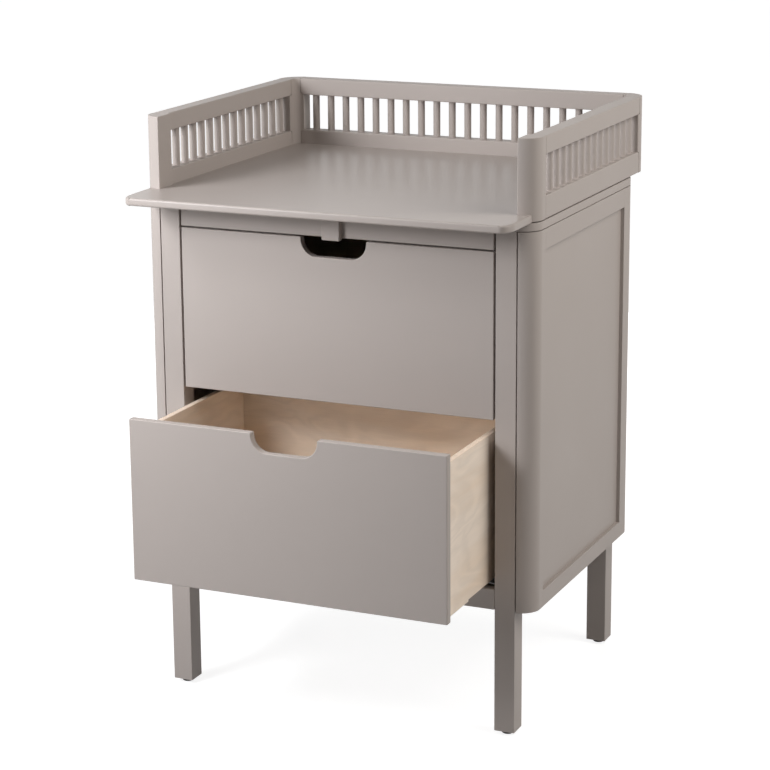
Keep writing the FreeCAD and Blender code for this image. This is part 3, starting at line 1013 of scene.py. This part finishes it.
def makeDrawerFronts():
    low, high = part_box("upper_drawer_front")
    low.x -= frontSpec["grow"]
    high.x += frontSpec["grow"]
    front = addBoard("drawer_front_panel", low, high)
    half, floorZ = frontSpec["cutHalf"], high.z - frontSpec["cutDepth"]
    cutter = addBoard("fingerCut", (-half, low.y - beyond, floorZ), (half, high.y + beyond, high.z + beyond))
    roundEdges(cutter, frontSpec["cutRadius"], 20, runsAlong("y", z=floorZ))
    cutAway(front, cutter)
    roundEdges(front, frontSpec["lip"], 6, runsAlong("y", z=high.z, x=(-half, half)))
    easeEdges(front, frontSpec["edge"], 3, overFacets)
    for level, piece in onBothLevels(front, "drawer_front"):
        dressPiece(piece, level + "_drawer", "board", level + "_drawer_front")


def makePlyBoards(part, along, depth):
    low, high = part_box("upper_drawer_" + part)
    onFoot = part.endswith("_side")
    if onFoot:
        low.z += boxSpec["footHeight"]
    board = addBoard("drawer_" + part + "_ply", low, high)
    if onFoot:
        footY = low.y + boxSpec["footLength"]
        scorePiece(board, "y", footY)
        drop = (0, 0, -boxSpec["footHeight"])
        pushFaces(board, drop, lambda centre, normal: normal.z < -facing and centre.y < footY)
    easeEdges(board, boxSpec["edge"], 2)
    plies = ("birchFace", "birchEdge")
    for level, piece in onBothLevels(board, "drawer_" + part):
        layGrain(piece, along, depth)
        dressPiece(piece, level + "_drawer", plies, "%s_drawer_%s" % (level, part))
        for face in piece.data.polygons:
            face.material_index = 0 if abs(face.normal[axes[depth]]) > boxSpec["flat"] else 1


makeDrawerFronts()
makePlyBoards("left_side", "y", "x")
makePlyBoards("right_side", "y", "x")
makePlyBoards("back", "x", "y")
makePlyBoards("bottom", "x", "z")
print("drawers")

# panels
panelSpec = {
    "edge": 0.0004,
    "tongueX": 0.320,  # bottom panel between the legs
    "wideY": (0.052, 0.494),  # from the front plane, where it widens to the side frames
}
bradSpec = {
    "radius": 0.0022,
    "length": 0.004,
    "edge": 0.0004,
    "rise": 0.0005,  # of its head out of the panel
    "perRow": 7,
    "fromSide": 0.030,
    "fromBottom": 0.010,
    "fromTop": 0.008,
}


def makeSidePanels():
    panel = addBoard("sidePanel", *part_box("right_side_panel"))
    easeEdges(panel, panelSpec["edge"], 2)
    lacqueredPair(panel, "{}_side_panel", "board")


def makeBackPanel():
    # thin board in the grooves of the rear legs, held by a row of brads above and below
    low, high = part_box("back_panel")
    panel = addBoard("back_panel_board", low, high)
    easeEdges(panel, panelSpec["edge"], 2)
    brad = addRod("brad", (0, 0, 0), bradSpec["radius"], bradSpec["length"], "y", rodSides=20)
    easeEdges(brad, bradSpec["edge"], 2, overFacets)
    y = high.y + bradSpec["rise"] - bradSpec["length"] / 2
    places = []
    for z in (low.z + bradSpec["fromBottom"], high.z - bradSpec["fromTop"]):
        for number in range(bradSpec["perRow"]):
            share = 2 * number / (bradSpec["perRow"] - 1) - 1
            places.append((share * (high.x - bradSpec["fromSide"]), y, z))
    panel = joinPieces([panel] + copiesAt(brad, places), "back_panel_board")
    dressPiece(panel, "cabinet", "paint", "back_panel")


def makeBottomPanel():
    low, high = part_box("bottom_panel")
    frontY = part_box("front_left_leg")[0].y
    near, far = (frontY + value for value in panelSpec["wideY"])
    tongue = panelSpec["tongueX"]
    panel = addBoard("bottom_panel_board", (-tongue, low.y, low.z), (tongue, high.y, high.z))
    scorePiece(panel, "y", near, far)
    for sign in (-1, 1):
        wing = (sign * (high.x - tongue), 0, 0)
        pushFaces(panel, wing, lambda centre, normal: normal.x * sign > facing and near < centre.y < far)
    easeEdges(panel, panelSpec["edge"], 2)
    dressPiece(panel, "cabinet", "paint", "bottom_panel")


makeSidePanels()
makeBackPanel()
makeBottomPanel()
print("panels")

# runners
runnerSpec = {
    "sheet": 0.0015,
    "lipHeight": 0.0065,
    "bend": 0.0012,
    "edge": 0.0002,
    "slot": (0.018, 0.0055),  # length and width of the fixing slots
    "slotPlaces": (0.14, 0.38, 0.62, 0.86),  # along the rail
    "slotRise": 0.030,  # above the underside of the fixed rail
    "window": (0.012, 0.014),  # roller windows of the middle rail, along and across
    "windowDepth": 0.004,
    "windowPlaces": (0.02, 0.045, -0.045, -0.02),  # from the front end, or from the rear end
    "rollerRadius": 0.0045,
    "rollerEdge": 0.0004,
    "rollerSpare": (0.001, 0.0001),  # less than the window's width, under the top of the rail
    "axleRadius": 0.0012,
    "hole": (0.002, 0.007),  # radius, and height above the drawer rail's lower edge
    "holePlaces": (0.03, 0.2, -0.03),  # as windowPlaces
}


def bendFixedRail(low, high):
    sheet = runnerSpec["sheet"]
    length, width = runnerSpec["slot"]
    rail = addBoard("bent", low, Vector((high.x, high.y, low.z + sheet)))
    scorePiece(rail, "x", low.x + sheet, high.x - sheet)
    lip, wall = (0, 0, runnerSpec["lipHeight"] - sheet), (0, 0, high.z - low.z - sheet)
    pushFaces(rail, lip, lambda centre, normal: normal.z > facing and centre.x < low.x + sheet)
    pushFaces(rail, wall, lambda centre, normal: normal.z > facing and centre.x > high.x - sheet)
    z = low.z + runnerSpec["slotRise"]
    for share in runnerSpec["slotPlaces"]:
        y = low.y + share * (high.y - low.y)
        slot = addBoard(
            "slot",
            (high.x - beyond, y - length / 2, z - width / 2),
            (high.x + beyond, y + length / 2, z + width / 2),
        )
        roundEdges(slot, width / 2 - tiny, 6, runsAlong("x"))
        cutAway(rail, slot)
    roundEdges(rail, runnerSpec["bend"], 4, runsAlong("y", z=low.z, x=(low.x, high.x)))
    easeEdges(rail, runnerSpec["edge"], 1, overBends)
    return rail


def rollMiddleRail(low, high):
    # square tube with pairs of rollers that show in its top
    sheet, radius = runnerSpec["sheet"], runnerSpec["rollerRadius"]
    along, across = runnerSpec["window"]
    narrower, lower = runnerSpec["rollerSpare"]
    inside = high.x - low.x - 2 * sheet
    tube = addBoard("tube", low, high)
    roundEdges(tube, sheet, 4, runsAlong("y"))
    bore = addBoard("bore", low + Vector((sheet, -beyond, sheet)), high + Vector((-sheet, beyond, -sheet)))
    cutAway(tube, bore)
    x, z = (low.x + high.x) / 2, high.z - radius - lower
    rollers = []
    for place in runnerSpec["windowPlaces"]:
        y = (low.y if place > 0 else high.y) + place
        window = addBoard(
            "window",
            (x - across / 2, y - along / 2, high.z - runnerSpec["windowDepth"]),
            (x + across / 2, y + along / 2, high.z + beyond),
        )
        cutAway(tube, window)
        roller = addRod("roller", (x, y, z), radius, across - narrower, "x")
        easeEdges(roller, runnerSpec["rollerEdge"], 2, overFacets)
        axle = addRod("axle", (x, y, z), runnerSpec["axleRadius"], inside, "x", rodSides=12)
        rollers += [roller, axle]
    easeEdges(tube, runnerSpec["edge"], 1, overBends)
    return joinPieces([tube] + rollers, "tube")


def foldDrawerRail(low, high):
    sheet = runnerSpec["sheet"]
    holeRadius, holeRise = runnerSpec["hole"]
    cap = addBoard("cap", low, high)
    room = addBoard("room", low + Vector((sheet, -beyond, -beyond)), high + Vector((-sheet, beyond, -sheet)))
    cutAway(cap, room)
    for place in runnerSpec["holePlaces"]:
        y = (low.y if place > 0 else high.y) + place
        cutAway(cap, addRod("hole", (high.x, y, low.z + holeRise), holeRadius, beyond, "x", rodSides=16))
    roundEdges(cap, runnerSpec["bend"], 4, runsAlong("y", z=high.z, x=(low.x, high.x)))
    easeEdges(cap, runnerSpec["edge"], 1, overBends)
    return cap


def fitRails(part, shapeRail, bodyName):
    model = shapeRail(*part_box("upper_right_" + part))
    for side, rail in onBothSides(model, "{}_%s_%s" % (part, model.name)):
        for level, piece in onBothLevels(rail, side + "_" + part):
            node = "%s_%s_%s" % (level, side, part)
            dressPiece(piece, bodyName.format(level), "steel", node)


fitRails("fixed_rail", bendFixedRail, "cabinet")
fitRails("middle_rail", rollMiddleRail, "{}_middle_rails")
fitRails("drawer_rail", foldDrawerRail, "{}_drawer")
print("runners")

# screws that hold the fixed rails
screwSpec = {
    "rise": 0.022,  # above the underside of the fixed rail
    "inset": 0.010,  # from each end of it
    "head": (0.004, 0.0022),  # radius and height
    "headRound": 0.0012,
    "shank": (0.002, 0.0155),  # radius and length
    "point": 0.0014,
    "recess": (0.0013, 0.0022, 0.0005),  # depth, half length and half width of the cross
}


def makeScrew():
    # the head's underside is at x = 0 and the shank runs along +x
    radius, height = screwSpec["head"]
    deep, wide, thin = screwSpec["recess"]
    head = addRod("screwHead", (-height / 2, 0, 0), radius, height, "x", rodSides=32)
    roundRim(head, screwSpec["headRound"], 4, lambda centre, normal: normal.x < -facing)
    for y, z in ((wide, thin), (thin, wide)):
        cutAway(head, addBoard("recess", (-height - beyond, -y, -z), (-height + deep, y, z)))
    radius, length = screwSpec["shank"]
    shank = addRod("screwShank", (length / 2, 0, 0), radius, length, "x", rodSides=20)
    roundRim(shank, screwSpec["point"], 1, lambda centre, normal: normal.x > facing)
    return joinPieces([head, shank], "screw")


def makeScrews():
    places = []
    for level in ("upper", "lower"):
        low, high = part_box(level + "_right_fixed_rail")
        for y in (low.y + screwSpec["inset"], high.y - screwSpec["inset"]):
            places.append((high.x - runnerSpec["sheet"], y, low.z + screwSpec["rise"]))
    screws = copiesAt(makeScrew(), places)
    screws += [mirrorPiece(screw, "screw") for screw in screws]
    dressPiece(joinPieces(screws, "runner_screws_set"), "cabinet", "steel", "runner_screws")


makeScrews()
print("screws")

# glides under the legs
glideSpec = {
    "radius": 0.012,
    "height": 0.008,
    "round": 0.004,
    "recess": (0.0042, 0.0016),  # radius and depth, in the underside
    "head": (0.0035, 0.001),  # of the nail: radius and height
    "headEdge": 0.0003,
    "nail": (0.0015, 0.024),  # radius, and how high it ends in the leg
}


def makeGlide():
    # plastic pad with its nail's head sunk in the underside
    height = glideSpec["height"]
    recessRadius, recessDepth = glideSpec["recess"]
    headRadius, headHeight = glideSpec["head"]
    nailRadius, nailTop = glideSpec["nail"]
    pad = addRod("pad", (0, 0, height / 2), glideSpec["radius"], height, "z", rodSides=48)
    roundRim(pad, glideSpec["round"], 8, lambda centre, normal: normal.z < -facing)
    cutAway(pad, addRod("sink", (0, 0, 0), recessRadius, 2 * recessDepth, "z", rodSides=32))
    head = addRod("head", (0, 0, recessDepth - headHeight / 2), headRadius, headHeight, "z", rodSides=32)
    easeEdges(head, glideSpec["headEdge"], 2, overFacets)
    nail = addRod("nail", (0, 0, (nailTop + height) / 2), nailRadius, nailTop - height, "z", rodSides=16)
    return joinPieces([pad, head, nail], "glide")


def makeGlides():
    places = []
    for row in ("front", "rear"):
        low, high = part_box(row + "_right_leg")
        middle = (low + high) / 2
        places += [Vector((x, middle.y, 0)) for x in (-middle.x, middle.x)]
    glides = joinPieces(copiesAt(makeGlide(), places), "leg_glides_pads")
    dressPiece(glides, "cabinet", ("glide", "steel"), "leg_glides")
    headReach = (glideSpec["recess"][0] + glideSpec["head"][0]) / 2
    for face in glides.data.polygons:
        z = face.center.z
        reach = min((face.center.xy - place.xy).length for place in places)
        onHead = reach < headReach and tiny < z < glideSpec["height"] / 2
        face.material_index = 1 if onHead or z > glideSpec["height"] + tiny else 0


makeGlides()
print("glides")
